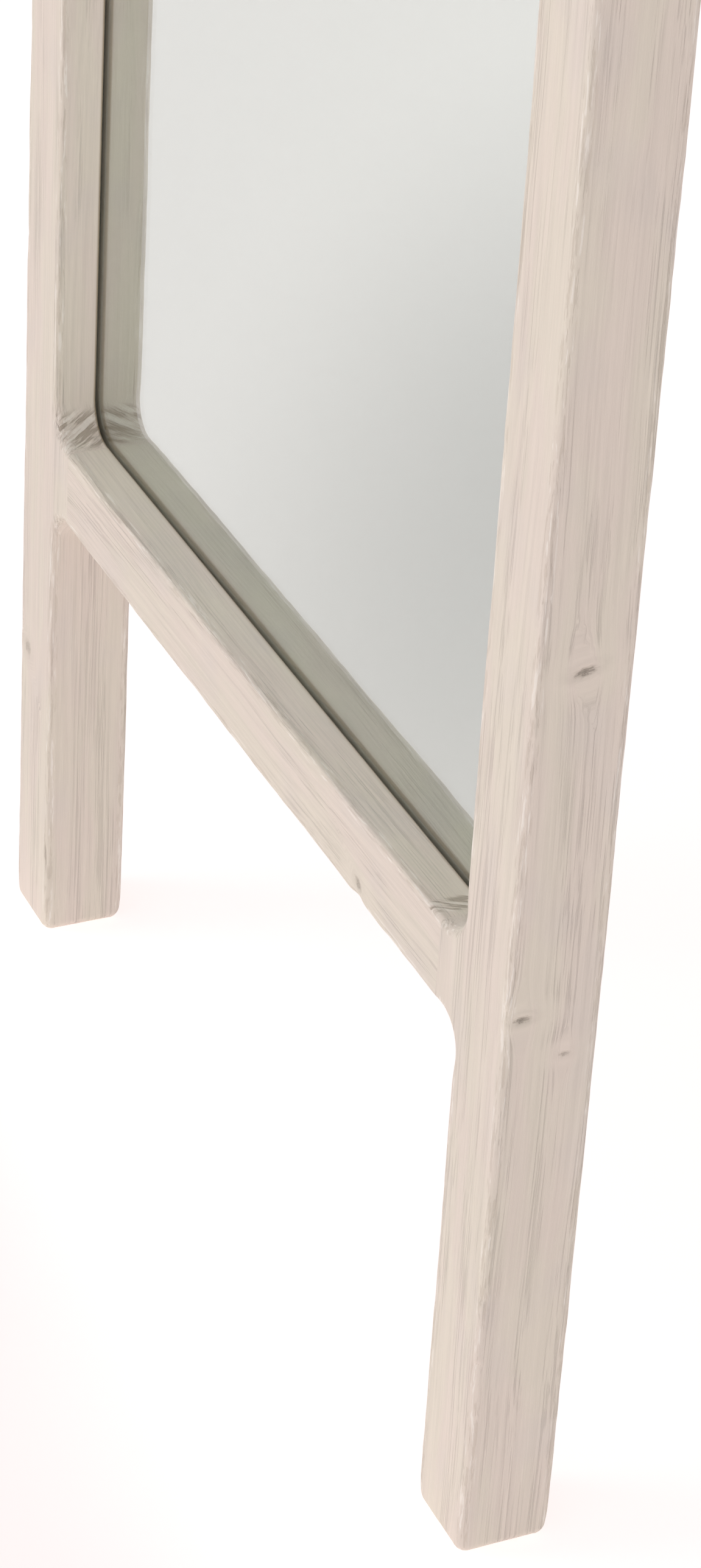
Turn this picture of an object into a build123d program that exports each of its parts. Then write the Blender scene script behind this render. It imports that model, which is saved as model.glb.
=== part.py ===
from build123d import *

import os

# A tall floor mirror in a thick softwood frame. The two posts run down past the bottom rail and
# are its legs, and its top leans on a wall. Left and right are as seen from the front.
# Millimetres. +Z is up, +X is to the right and the mirror faces -Y. The origin is on the floor,
# in the middle of the box that the whole mirror fills.

# Wooden frame
frame_width = 757.0
frame_height = 1800.0
post_width = 58.0
post_depth = 58.0
rail_bottom = 342.5
rail_height = 53.5
haunch_length = 27.0
corner_radius = 25.0
end_radius = 8.0
edge_radius = 4.5

# Rebate, cut in from the back for the glass and what holds it
glass_recess = 29.5
rebate_width = 12.0
bed_gap = 3.0
side_gap = 2.0

# Loose tenons between the haunches and the rails
tenon_length = 80.0
tenon_height = 32.0
tenon_thickness = 12.0
tenon_recess = 17.0
mortise_spare = 1.0

# Layers behind the lip, from the front to the back
glass_thickness = 5.0
film_thickness = 0.3
cushion_thickness = 2.0
panel_thickness = 4.0
strip_depth = 15.0
strip_width = 16.0
film_margin = 1.0
panel_gap = 1.0

# Rubber blocks and pads round the glass
block_length = 80.0
pad_length = 40.0
block_places = (-0.25, 0.25)

# Countersunk wood screws
screw_radius = 1.75
screw_head_radius = 3.5
screw_head_depth = 1.8
screw_length = 35.0
screw_tip_length = 4.0
screw_tip_radius = 0.2
drive_width = 0.9
drive_length = 4.0
drive_depth = 1.2
hole_gap = 0.05
side_screws = 5
rail_screws = 3
screw_end_distance = 60.0
short_screw_length = 22.0

# Hanger plates with a rolled eye, and the rings in them
hanger_height = 1500.0
plate_width = 15.0
plate_length = 36.0
plate_thickness = 1.2
eye_radius = 3.1
bore_radius = 1.68
wire_radius = 1.6
ring_half_width = 12.0
ring_corner_radius = 3.0
ring_straight = 6.0
plate_screw_places = (-9.0, -28.0)

# Wall bumpers
bumper_height = 1762.0
bumper_radius = 11.0
bumper_thickness = 7.0
bumper_edge_radius = 1.5

# Points closer together than this count as the same place
same_place = 0.1

# Places that follow from the sizes above
front = -(post_depth + bumper_thickness) / 2
back = front + post_depth
rail_top = rail_bottom + rail_height
top_rail_bottom = frame_height - rail_height
joint_x = post_width + haunch_length
opening_half = frame_width / 2 - post_width
rebate_half = opening_half + rebate_width
rebate_bottom = rail_top - rebate_width
rebate_top = top_rail_bottom + rebate_width
rebate_centre_z = (rebate_bottom + rebate_top) / 2
rebate_height = rebate_top - rebate_bottom
glass_front = front + glass_recess
film_front = glass_front + glass_thickness
cushion_front = film_front + film_thickness
panel_front = cushion_front + cushion_thickness
strip_front = panel_front + panel_thickness
strip_centre_y = strip_front + strip_depth / 2
glass_half = rebate_half - side_gap
post_centre_x = (frame_width - post_width) / 2


def box_between(low, high):
    """A box from its lowest corner to its highest corner."""
    size = [top - bottom for bottom, top in zip(low, high)]
    return Pos(*low) * Box(*size, align=(Align.MIN, Align.MIN, Align.MIN))


def centred_sheet(half_width, y_front, thickness, z_low, z_high):
    """A flat rectangular layer, centred on X, that faces the front."""
    return box_between((-half_width, y_front, z_low), (half_width, y_front + thickness, z_high))


def outline_edges(solid):
    """The edges round the front face and the back face of an extruded outline."""
    faces = solid.faces().filter_by(Axis.Y).sort_by(Axis.Y)
    return faces[0].edges() + faces[-1].edges()


def rebate():
    """The space cut out of the frame from the back, as one rectangular block."""
    return box_between((-rebate_half, glass_front, rebate_bottom), (rebate_half, back, rebate_top))


def post_outline():
    """Front outline of the left post in X and Z, with its outer side at X = 0."""
    foot = [(0, 0), (post_width, 0), (post_width, rail_bottom)]
    bottom_haunch = [(joint_x, rail_bottom), (joint_x, rail_top), (post_width, rail_top)]
    top_haunch = [(post_width, top_rail_bottom), (joint_x, top_rail_bottom), (joint_x, frame_height)]
    outline = make_face(Polyline(*foot, *bottom_haunch, *top_haunch, (0, frame_height), close=True))
    corners = outline.vertices().filter_by(
        lambda v: abs(v.X - post_width) < same_place and v.Y > end_radius)
    outline = fillet(corners, corner_radius)
    ends = outline.vertices().filter_by(lambda v: min(v.X, v.Y) < same_place)
    return fillet(ends, end_radius)


def left_post():
    """Square post with the haunches of both rails, its edges eased and its rebate cut."""
    blank = extrude(Plane.XZ * post_outline(), -post_depth)
    eased = outline_edges(blank).filter_by(lambda e: abs(e.center().X - joint_x) > same_place)
    blank = fillet(eased, edge_radius)
    return Pos(-frame_width / 2, front, 0) * blank - rebate()


def rail(z_low):
    """One rail between the haunches, with its long edges eased and its side of the rebate cut."""
    half = frame_width / 2 - joint_x
    blank = box_between((-half, front, z_low), (half, back, z_low + rail_height))
    return fillet(blank.edges().filter_by(Axis.X), edge_radius) - rebate()


def tenon_at(side, z_centre, spare=0.0):
    """Loose tenon with rounded edges across a joint. side is -1 for left and 1 for right."""
    section = Plane.YZ * SlotOverall(tenon_height, tenon_thickness, rotation=90)
    length = tenon_length + 2 * spare
    bar = extrude(section, length / 2, both=True)
    return Pos(side * (frame_width / 2 - joint_x), front + tenon_recess, z_centre) * bar


def mirror_glass():
    """Float glass that stands on the setting blocks."""
    return centred_sheet(glass_half, glass_front, glass_thickness,
                         rebate_bottom + bed_gap, rebate_top - bed_gap)


def backing_film():
    """Protective film on the back of the glass, cut a little smaller than it."""
    return centred_sheet(glass_half - film_margin, film_front, film_thickness,
                         rebate_bottom + bed_gap + film_margin, rebate_top - bed_gap - film_margin)


def cushion_sheet():
    """Soft sheet between the glass and the back panel."""
    return centred_sheet(glass_half, cushion_front, cushion_thickness,
                         rebate_bottom + bed_gap, rebate_top - bed_gap)


def back_panel():
    """Thin panel that closes the back."""
    return centred_sheet(rebate_half - panel_gap, panel_front, panel_thickness,
                         rebate_bottom + panel_gap, rebate_top - panel_gap)


def setting_blocks():
    """Two rubber blocks on the bottom rail that carry the glass."""
    block = Box(block_length, glass_thickness, bed_gap)
    y = glass_front + glass_thickness / 2
    z = rebate_bottom + bed_gap / 2
    places = [Pos(2 * glass_half * share, y, z) for share in block_places]
    return Compound(children=[place * block for place in places])


def edge_spacers():
    """Rubber pads that centre the glass: two on each side and two over it."""
    y = glass_front + glass_thickness / 2
    side_pad = Box(side_gap, glass_thickness, pad_length)
    top_pad = Box(pad_length, glass_thickness, bed_gap)
    pads = []
    for share in block_places:
        pads.append(Pos(2 * glass_half * share, y, rebate_top - bed_gap / 2) * top_pad)
        for side in (-1, 1):
            x = side * (glass_half + side_gap / 2)
            pads.append(Pos(x, y, rebate_centre_z + rebate_height * share) * side_pad)
    return Compound(children=pads)


def screw(length, gap=0.0):
    """Countersunk screw pointing down, with the top of its head at the origin."""
    radius = screw_radius + gap
    head = Cone(radius, screw_head_radius + gap, screw_head_depth,
                align=(Align.CENTER, Align.CENTER, Align.MAX))
    shank = Cylinder(radius, length - screw_tip_length,
                     align=(Align.CENTER, Align.CENTER, Align.MAX))
    tip = Cone(screw_tip_radius, radius, screw_tip_length,
               align=(Align.CENTER, Align.CENTER, Align.MAX))
    return head + shank + Pos(0, 0, screw_tip_length - length) * tip


def driven_screw(length):
    """Screw with the cross recess in its head."""
    across = Box(drive_length, drive_width, drive_depth,
                 align=(Align.CENTER, Align.CENTER, Align.MAX))
    return screw(length) - across - Rot(0, 0, 90) * across


def evenly(low, high, count):
    """count places from low to high."""
    return [low + (high - low) * i / (count - 1) for i in range(count)]


def strip_screw_places():
    """Where the strips' screws go, each as a location whose -Z is the way the screw points."""
    places = []
    inner = rebate_half - strip_width
    for z in evenly(rebate_bottom + screw_end_distance, rebate_top - screw_end_distance, side_screws):
        places.append(Pos(-inner, strip_centre_y, z) * Rot(0, 90, 0))
        places.append(Pos(inner, strip_centre_y, z) * Rot(0, -90, 0))
    for x in evenly(-inner + screw_end_distance, inner - screw_end_distance, rail_screws):
        places.append(Pos(x, strip_centre_y, rebate_bottom + strip_width))
        places.append(Pos(x, strip_centre_y, rebate_top - strip_width) * Rot(180, 0, 0))
    return places


def plate_screw_places_on_posts():
    """Where the hanger plates' screws go into the backs of the posts."""
    places = []
    for side in (-1, 1):
        for drop in plate_screw_places:
            at = Pos(side * post_centre_x, back + plate_thickness, hanger_height + drop)
            places.append(at * Rot(-90, 0, 0))
    return places


def screws(places, length):
    """A group of the same screws."""
    return Compound(children=[place * driven_screw(length) for place in places])


def without_holes(solid, places, length):
    """The solid with the holes of those screws that reach it."""
    box = solid.bounding_box()
    for place in places:
        hole = place * screw(length, hole_gap)
        if box.overlaps(hole.bounding_box()):
            solid = solid - hole
    return solid


def upright_strip(side):
    """Retaining strip along one post, over the whole height of the rebate."""
    x_outer = side * rebate_half
    x_inner = side * (rebate_half - strip_width)
    low = (min(x_outer, x_inner), strip_front, rebate_bottom)
    high = (max(x_outer, x_inner), strip_front + strip_depth, rebate_top)
    return box_between(low, high)


def level_strip(z_low):
    """Retaining strip along one rail, between the upright strips."""
    return centred_sheet(rebate_half - strip_width, strip_front, strip_depth, z_low, z_low + strip_width)


def hanger_plate(side):
    """Steel plate screwed to the back of a post, with an eye rolled out of its upper end."""
    tongue = Rectangle(plate_width, plate_length - plate_width / 2, align=(Align.CENTER, Align.MAX))
    tongue += Pos(0, plate_width / 2 - plate_length) * Circle(plate_width / 2)
    plate = extrude(Plane.XZ * tongue, -plate_thickness)
    eye = Pos(0, eye_radius, 0) * Rot(0, 90, 0) * Cylinder(eye_radius, plate_width)
    bore = Pos(0, eye_radius, 0) * Rot(0, 90, 0) * Cylinder(bore_radius, plate_width)
    return Pos(side * post_centre_x, back, hanger_height) * (plate + eye - bore)


def hanger_ring(side):
    """D-shaped wire ring that hangs from its straight bar, which lies in the plate's eye."""
    bar_end = ring_half_width - ring_corner_radius
    bar = Line((-bar_end, 0), (bar_end, 0))
    right_corner = JernArc(bar @ 1, bar % 1, ring_corner_radius, -90)
    right_side = Line(right_corner @ 1, (ring_half_width, -ring_straight))
    bow = JernArc(right_side @ 1, right_side % 1, ring_half_width, -180)
    left_side = Line(bow @ 1, (-ring_half_width, -ring_corner_radius))
    left_corner = JernArc(left_side @ 1, left_side % 1, ring_corner_radius, -90)
    path = Plane.XZ * Wire([bar, right_corner, right_side, bow, left_side, left_corner])
    section = Plane(origin=path @ 0, z_dir=path % 0) * Circle(wire_radius)
    wire = sweep(section, path=path)
    return Pos(side * post_centre_x, back + eye_radius, hanger_height) * wire


def wall_bumper(side):
    """Soft round pad on the back of a post, near its top."""
    pad = Cylinder(bumper_radius, bumper_thickness, align=(Align.CENTER, Align.CENTER, Align.MIN))
    pad = fillet(pad.edges().sort_by(Axis.Z)[-1], bumper_edge_radius)
    return Pos(side * post_centre_x, back, bumper_height) * Rot(-90, 0, 0) * pad


def tenon_places():
    """Side and height of each loose tenon, by corner."""
    low = rail_bottom + rail_height / 2
    high = top_rail_bottom + rail_height / 2
    return {
        "bottom_left": (-1, low),
        "bottom_right": (1, low),
        "top_left": (-1, high),
        "top_right": (1, high),
    }


def wooden_frame():
    """The two posts and two rails, with their mortises and screw holes."""
    post = left_post()
    members = {
        "left_post": post,
        "right_post": mirror(post, about=Plane.YZ),
        "bottom_rail": rail(rail_bottom),
        "top_rail": rail(top_rail_bottom),
    }
    for name, member in members.items():
        for side, z_centre in tenon_places().values():
            member = member - tenon_at(side, z_centre, mortise_spare)
        member = without_holes(member, strip_screw_places(), screw_length)
        members[name] = without_holes(member, plate_screw_places_on_posts(), short_screw_length)
    return members


def retaining_strips():
    """The four strips round the back panel, drilled for their screws."""
    strips = {
        "retaining_strip_left": upright_strip(-1),
        "retaining_strip_right": upright_strip(1),
        "retaining_strip_bottom": level_strip(rebate_bottom),
        "retaining_strip_top": level_strip(rebate_top - strip_width),
    }
    return {
        name: without_holes(strip, strip_screw_places(), screw_length)
        for name, strip in strips.items()
    }


def hanging_hardware():
    """Plates, rings, bumpers and the plates' screws."""
    pieces = {"hanger_screws": screws(plate_screw_places_on_posts(), short_screw_length)}
    for name, side in (("left", -1), ("right", 1)):
        plate = hanger_plate(side)
        pieces[f"{name}_hanger_plate"] = without_holes(
            plate, plate_screw_places_on_posts(), short_screw_length)
        pieces[f"{name}_hanger_ring"] = hanger_ring(side)
        pieces[f"{name}_wall_bumper"] = wall_bumper(side)
    return pieces


def glazing():
    """The glass and the layers and pads round it."""
    return {
        "mirror_glass": mirror_glass(),
        "backing_film": backing_film(),
        "cushion_sheet": cushion_sheet(),
        "back_panel": back_panel(),
        "setting_blocks": setting_blocks(),
        "edge_spacers": edge_spacers(),
        "strip_screws": screws(strip_screw_places(), screw_length),
    }


pieces = {**wooden_frame(), **glazing(), **retaining_strips(), **hanging_hardware()}
for corner, (side, z_centre) in tenon_places().items():
    pieces[f"corner_tenon_{corner}"] = tenon_at(side, z_centre)

os.makedirs("parts", exist_ok=True)
for name, piece in pieces.items():
    export_step(piece, f"parts/{name}.step")
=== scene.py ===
import math
from typing import NamedTuple

import bmesh
import bpy
import numpy as np
from mathutils import Matrix, Vector


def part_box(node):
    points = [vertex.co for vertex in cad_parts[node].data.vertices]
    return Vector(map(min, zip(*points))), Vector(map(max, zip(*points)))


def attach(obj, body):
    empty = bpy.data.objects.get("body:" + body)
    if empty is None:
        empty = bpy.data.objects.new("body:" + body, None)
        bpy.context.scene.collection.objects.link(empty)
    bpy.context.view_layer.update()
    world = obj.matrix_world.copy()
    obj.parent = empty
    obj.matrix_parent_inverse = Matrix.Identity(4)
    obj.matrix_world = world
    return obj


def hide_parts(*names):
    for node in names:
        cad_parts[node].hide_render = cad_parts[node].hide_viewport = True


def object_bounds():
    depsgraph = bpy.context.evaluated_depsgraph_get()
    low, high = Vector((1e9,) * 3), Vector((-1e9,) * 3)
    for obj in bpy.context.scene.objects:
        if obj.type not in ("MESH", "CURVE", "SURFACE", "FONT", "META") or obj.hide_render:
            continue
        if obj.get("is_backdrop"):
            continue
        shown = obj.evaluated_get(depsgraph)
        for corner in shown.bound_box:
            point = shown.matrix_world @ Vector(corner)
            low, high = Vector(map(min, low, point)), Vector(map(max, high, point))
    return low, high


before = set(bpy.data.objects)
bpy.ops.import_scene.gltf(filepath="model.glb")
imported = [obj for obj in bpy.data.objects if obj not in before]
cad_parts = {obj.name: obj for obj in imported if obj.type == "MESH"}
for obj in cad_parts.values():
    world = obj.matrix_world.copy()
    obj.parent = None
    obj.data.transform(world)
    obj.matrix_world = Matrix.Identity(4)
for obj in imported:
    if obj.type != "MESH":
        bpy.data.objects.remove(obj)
cad_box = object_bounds()

# Metres throughout, in the CAD frame: the mirror faces -Y, +X is to the right as seen from the
# front, and the floor is at Z = 0.

# Shape of the wooden frame, where the CAD boxes don't give it
LIP_WIDTH = 0.012
CORNER_RADIUS = 0.025
END_RADIUS = 0.008
JOINT_GAP = 0.00001

# Radii of the hand-eased edges: along the outside, round the opening, added at the round inner
# corners, at the feet and the tops, and on the lip's back edge
EDGE_RADIUS = 0.0034
INNER_EDGE_RADIUS = 0.0020
EDGE_AT_CORNERS = 0.0052
END_EDGE_RADIUS = 0.0076
LIP_ARRIS = 0.0021
EDGE_SHARPEST = 0.0015

# How far from an edge its easing, its worn wash and the painted shade by the lip's back edge can
# reach, how far the feet's and the tops' rounder edges reach, and how far from a butt joint the
# faces are flush
EDGE_ZONE = 0.0080
WEAR_REACH = 0.0075
LIP_SHADE_REACH = 0.0034
FINE_ENDS = 0.0108
FLUSH_REACH = 0.014

# Slow and quick changes of an edge's radius: how much, and over what length
EDGE_WANDER, WANDER_LENGTH = 0.0009, 0.055
EDGE_CHATTER, CHATTER_LENGTH = 0.0005, 0.011

# Unevenness of the hand-finished faces: how deep, and how large across and along the grain
SWELL, SWELL_ACROSS, SWELL_ALONG = 0.00028, 0.045, 0.16
RIPPLE, RIPPLE_ACROSS, RIPPLE_ALONG = 0.00010, 0.009, 0.030
BACK_UNEVENNESS = 0.25

# Mesh steps: at eased edges, across and along a member, at round corners, in the rebate, above
# the underside of the rail, at the ends, on the lip's back edge and on the face behind it
FINE = 0.0010
ACROSS = 0.0034
ALONG = 0.0074
CURVED = 0.0015
REBATE_STEP = 0.0020
UNDERSIDE_STEP = 0.0018
END_STEP = 0.0009
ARRIS_STEP, RAIL_ARRIS_STEP = 0.0008, 0.0006
BEHIND_STEP, RAIL_BEHIND_STEP = 0.0034, 0.0030
RAIL_ALONG = 0.0032

# Camera
CAMERA_PLACE = (2.04635, -0.93297, 1.68316)
CAMERA_AZIMUTH = 64.399
CAMERA_ELEVATION = 31.4275
CAMERA_ROLL = 3.602
CAMERA_LENS = 97.73
SENSOR_WIDTH = 36.0

# Where things are, from the CAD boxes
post_low, post_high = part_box("left_post")
rail_low, rail_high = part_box("bottom_rail")
top_rail_low, top_rail_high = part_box("top_rail")
strip_low, strip_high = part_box("retaining_strip_left")
glass_low, glass_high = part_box("mirror_glass")

OUTER = -post_low.x
FRONT = post_low.y
BACK = post_high.y
TOP = post_high.z
JOINT = rail_high.x
REBATE_HALF = -strip_low.x
REBATE_BOTTOM = strip_low.z
REBATE_TOP = strip_high.z
OPENING_HALF = REBATE_HALF - LIP_WIDTH
OPENING_BOTTOM = REBATE_BOTTOM + LIP_WIDTH
OPENING_TOP = REBATE_TOP - LIP_WIDTH
UNDERSIDE = rail_low.z
LIP_BACK = glass_low.y


# ---------------------------------------------------------------- noise and small helpers

def lattice(cell, seed):
    """A repeatable value from -1 to 1 for each whole-number cell."""
    a, b, c = (cell[:, i].astype(np.int64) for i in range(3))
    h = (a * 374761393 + b * 668265263 + c * 2246822519 + seed * 3266489917) & 0xFFFFFFFF
    h = ((h ^ (h >> 13)) * 1274126177) & 0xFFFFFFFF
    return ((h ^ (h >> 16)) & 0xFFFF) / 32767.5 - 1.0


def noise(points, size, seed):
    """Smooth noise from -1 to 1 at each point. size is the size of its bumps along each axis."""
    scaled = points / np.asarray(size, float)
    cell = np.floor(scaled)
    part = scaled - cell
    part = part * part * (3 - 2 * part)
    total = np.zeros(len(points))
    for corner in np.ndindex(2, 2, 2):
        weight = np.prod(np.where(np.array(corner) == 1, part, 1 - part), axis=1)
        total += weight * lattice(cell + corner, seed)
    return total


def graded(*stops):
    """Grid lines through (position, step after it) pairs. The last pair's step isn't used."""
    lines = [stops[0][0]]
    for (low, step), (high, _) in zip(stops, stops[1:]):
        count = max(1, math.ceil((high - low) / step - 1e-6))
        lines.extend(low + (high - low) * i / count for i in range(1, count + 1))
    return np.array(lines)


def refined(lines, places, reach, step):
    """The lines with closer ones round each place, and every old line kept."""
    reach_steps = round(reach / step)
    extra = np.array([p + k * step for p in places for k in range(-reach_steps, reach_steps + 1)])
    if not len(extra):
        return lines
    extra = extra[(extra > lines[0]) & (extra < lines[-1])]
    apart = np.abs(extra[:, None] - lines[None, :]).min(1) > step / 2
    extra = np.unique(extra[apart])
    return np.sort(np.concatenate([lines, extra[np.diff(extra, prepend=-1.0) > step / 2]]))


def grid_skin(axes, filled):
    """Points and quads of the skin round the filled cells of a grid."""
    middles = [(a[:-1] + a[1:]) / 2 for a in axes]
    cells = np.zeros([len(a) + 1 for a in axes], bool)
    cells[1:-1, 1:-1, 1:-1] = filled(*np.meshgrid(*middles, indexing="ij"))
    sizes = [len(a) for a in axes]
    quads = []
    for axis in range(3):
        change = np.diff(cells.astype(np.int8), axis=axis)
        b, c = (axis + 1) % 3, (axis + 2) % 3
        for sign in (1, -1):
            found = np.argwhere(change == sign)
            corners = []
            for db, dc in ((0, 0), (1, 0), (1, 1), (0, 1)):
                at = found.copy()
                at[:, b] += db - 1
                at[:, c] += dc - 1
                corners.append((at[:, 0] * sizes[1] + at[:, 1]) * sizes[2] + at[:, 2])
            quads.append(np.stack(corners if sign < 0 else corners[::-1], axis=1))
    quads = np.concatenate(quads)
    used, index = np.unique(quads, return_inverse=True)
    i, rest = np.divmod(used, sizes[1] * sizes[2])
    j, k = np.divmod(rest, sizes[2])
    points = np.stack([axes[0][i], axes[1][j], axes[2][k]], axis=1)
    return points, index.reshape(-1, 4)


def point_normals(points, quads):
    """Outward direction at each point of a skin."""
    p = points[quads]
    faces = np.cross(p[:, 2] - p[:, 0], p[:, 3] - p[:, 1])
    total = np.zeros_like(points)
    for k in range(4):
        np.add.at(total, quads[:, k], faces)
    return total / np.maximum(np.linalg.norm(total, axis=1, keepdims=True), 1e-12)


def linked(name, data):
    """A new object for a mesh, a light or a camera, in the scene."""
    made = bpy.data.objects.new(name, data)
    bpy.context.scene.collection.objects.link(made)
    return made


def mesh_piece(name, points, faces):
    """A smooth-shaded mesh object, sharp only where faces meet at a clear angle."""
    mesh = bpy.data.meshes.new(name)
    mesh.from_pydata(points.tolist(), [], faces.tolist())
    mesh.shade_smooth()
    mesh.set_sharp_from_angle(angle=math.radians(40))
    return linked(name, mesh)


def store(piece, name, values):
    """Keeps one number or one vector for each point of a piece, for its material to read."""
    values = np.asarray(values, np.float32)
    if values.ndim == 1:
        piece.data.attributes.new(name, "FLOAT", "POINT").data.foreach_set("value", values)
    else:
        attribute = piece.data.attributes.new(name, "FLOAT_VECTOR", "POINT")
        attribute.data.foreach_set("vector", values.ravel())


# ---------------------------------------------------------------- outline of the wooden frame

def round_box(x, z, half_x, half_z, radius):
    """Signed distance to a rounded rectangle round the origin, negative inside it."""
    qx = np.abs(x) - half_x + radius
    qz = np.abs(z) - half_z + radius
    outside = np.hypot(np.maximum(qx, 0), np.maximum(qz, 0))
    return outside + np.minimum(np.maximum(qx, qz), 0) - radius


def opening_depth(x, z):
    """How far a point of the wood is from the opening for the glass."""
    centre = (OPENING_BOTTOM + OPENING_TOP) / 2
    half = (OPENING_TOP - OPENING_BOTTOM) / 2
    return round_box(x, z - centre, OPENING_HALF, half, CORNER_RADIUS)


def outline_depth(x, z):
    """How deep a point of the wood lies inside the outline that is seen from the front."""
    outer = -round_box(x, z - TOP / 2, OUTER, TOP / 2, END_RADIUS)
    between_legs = round_box(x, z, OPENING_HALF, UNDERSIDE, CORNER_RADIUS)
    corner = (outer < END_RADIUS) & (between_legs < END_RADIUS)
    rounded = END_RADIUS - np.hypot(END_RADIUS - outer, END_RADIUS - between_legs)
    leg = np.where(corner, rounded, np.minimum(outer, between_legs))
    return np.minimum(leg, opening_depth(x, z))


def fill_corner(points, centre_z, way):
    """Bends the sharp inner corner on each side into its round one, as far as the rebate."""
    side = np.sign(points[:, 0])
    x = np.abs(points[:, 0]) - (OPENING_HALF - CORNER_RADIUS)
    z = (points[:, 2] - centre_z) * way
    near = (x > 0) & (z > 0)
    far = np.maximum(np.maximum(x, z), 1e-9)
    rho = np.maximum(np.hypot(x, z), 1e-9)
    wall = CORNER_RADIUS * rho / far
    fade = np.clip(1 - (far - CORNER_RADIUS) / LIP_WIDTH, 0, 1)
    scale = np.where(near, 1 - (wall - CORNER_RADIUS) * fade / rho, 1)
    points[:, 0] = side * (x * scale + OPENING_HALF - CORNER_RADIUS)
    points[:, 2] = centre_z + way * z * scale


def round_end(points, edge_x, edge_z, way_x, way_z):
    """Rounds one outer corner of the outline, at edge_x and edge_z, in the row of points given."""
    x = (points[:, 0] - edge_x) * way_x + END_RADIUS
    z = (points[:, 2] - edge_z) * way_z + END_RADIUS
    near = (x > 0) & (z > 0)
    scale = np.where(near, np.maximum(x, z) / np.maximum(np.hypot(x, z), 1e-9), 1)
    moved_x = edge_x + way_x * (x * scale - END_RADIUS)
    moved_z = edge_z + way_z * (z * scale - END_RADIUS)
    points[:, 0] = np.where(near, moved_x, points[:, 0])
    points[:, 2] = np.where(near, moved_z, points[:, 2])


def shape_outline(points):
    """Turns the stepped outline of a grid skin into the real one, with its round corners."""
    fill_corner(points, UNDERSIDE - CORNER_RADIUS, 1)
    fill_corner(points, OPENING_BOTTOM + CORNER_RADIUS, -1)
    fill_corner(points, OPENING_TOP - CORNER_RADIUS, 1)
    for side in (-1, 1):
        round_end(points, side * OUTER, 0, side, -1)
        round_end(points, side * OUTER, TOP, side, 1)
        round_end(points, side * OPENING_HALF, 0, -side, -1)


def apart_from_joint(points):
    """Goes from 0 at the butt joints to 1 away from them, so that the pieces meet flush there."""
    part = np.clip(np.abs(np.abs(points[:, 0]) - JOINT) / FLUSH_REACH, 0, 1)
    return part * part * (3 - 2 * part)


# Rows of the noise that keep a member's four edges from wandering alike
BACK_ROW, INNER_ROW = 3.7, 7.9


def edge_radii(points, steps, seed):
    """Radius of the eased edge near each point. It wanders, as where a plane and paper made it."""
    along = points[:, 0] + points[:, 2]
    back = np.where(points[:, 1] > (FRONT + BACK) / 2, 1.0, 0.0)
    inner = np.where(np.abs(points[:, 0]) < (OUTER + OPENING_HALF) / 2, 1.0, 0.0)
    own_row = back * BACK_ROW + inner * INNER_ROW
    at = np.stack([along, own_row, np.zeros(len(points))], axis=1)
    wander = EDGE_WANDER * noise(at, (WANDER_LENGTH, 1, 1), seed)
    wander += EDGE_CHATTER * noise(at, (CHATTER_LENGTH, 1, 1), seed + 1)
    radius = np.where(inner == 1, INNER_EDGE_RADIUS, EDGE_RADIUS)
    radius = radius + wander * apart_from_joint(points)
    front_outer = (back == 0) & (inner == 0)
    for step in steps:
        rise = np.clip((points[:, 2] - step.height) / step.run + 0.5, 0, 1)
        radius += np.where(front_outer, step.change * (rise * rise * (3 - 2 * rise) - 1), 0)
    for z in (UNDERSIDE, OPENING_BOTTOM, OPENING_TOP):
        from_corner = np.hypot(np.abs(points[:, 0]) - OPENING_HALF, points[:, 2] - z)
        radius += EDGE_AT_CORNERS * np.exp(-((from_corner / CORNER_RADIUS) ** 2))
    from_end = np.minimum(points[:, 2], TOP - points[:, 2])
    radius += (END_EDGE_RADIUS - radius) * np.exp(-((from_end / FINE_ENDS) ** 2))
    return np.clip(radius, EDGE_SHARPEST, EDGE_ZONE - 0.0002)


def ease_edges(points, radius, depth_at, b, way):
    """Rounds the edges where a face meets the sides, and returns how far each point is from one.
    b is each point's distance from that face, and way is where the face's inside is along Y."""
    step = 1e-5
    x, z = points[:, 0].copy(), points[:, 2].copy()
    a = np.maximum(depth_at(x, z), 0)
    slope_x = (depth_at(x + step, z) - depth_at(x - step, z)) / (2 * step)
    slope_z = (depth_at(x, z + step) - depth_at(x, z - step)) / (2 * step)
    near = (a < radius) & (b < radius) & (b > -1e-7)
    depth = np.minimum(a, b)
    turn = (1 + (b - a) / np.maximum(radius - depth, 1e-9)) * math.pi / 4
    new_a = radius - (radius - depth) * np.sin(turn)
    new_b = radius - (radius - depth) * np.cos(turn)
    shift_a = np.where(near, new_a - a, 0)
    shift_b = np.where(near, new_b - b, 0)
    points[:, 0] += shift_a * slope_x
    points[:, 2] += shift_a * slope_z
    points[:, 1] += way * shift_b
    return np.maximum(a, b)


# ---------------------------------------------------------------- knots, dents and torn grain

# Faces that knots lie on: the axis square to the face, the axes across and along the grain, and
# where the face is. The outer face of a post is placed by the post's side.
FACE_AXES = {
    "front": (1, 0, 2, FRONT),
    "outer": (0, 1, 2, None),
    "back": (1, 0, 2, BACK),
    "rail_front": (1, 2, 0, FRONT),
    "rail_back": (1, 2, 0, BACK),
}


class Knot(NamedTuple):
    """A knot: its face, its middle across and along the grain, its half sizes across and along
    the grain, its tilt in degrees, how dark it is and how far it is sunk in."""
    face: str
    across: float
    along: float
    wide: float
    tall: float
    tilt: float
    dark: float
    sunk: float


class EdgeStep(NamedTuple):
    """A step of the front outer edge: its height, the change of the radius and its length."""
    height: float
    change: float
    run: float


class Dent(NamedTuple):
    """A small dent: its middle, its reach across and along Z, and its depth."""
    x: float
    y: float
    z: float
    reach: float
    tall: float
    deep: float


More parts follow.
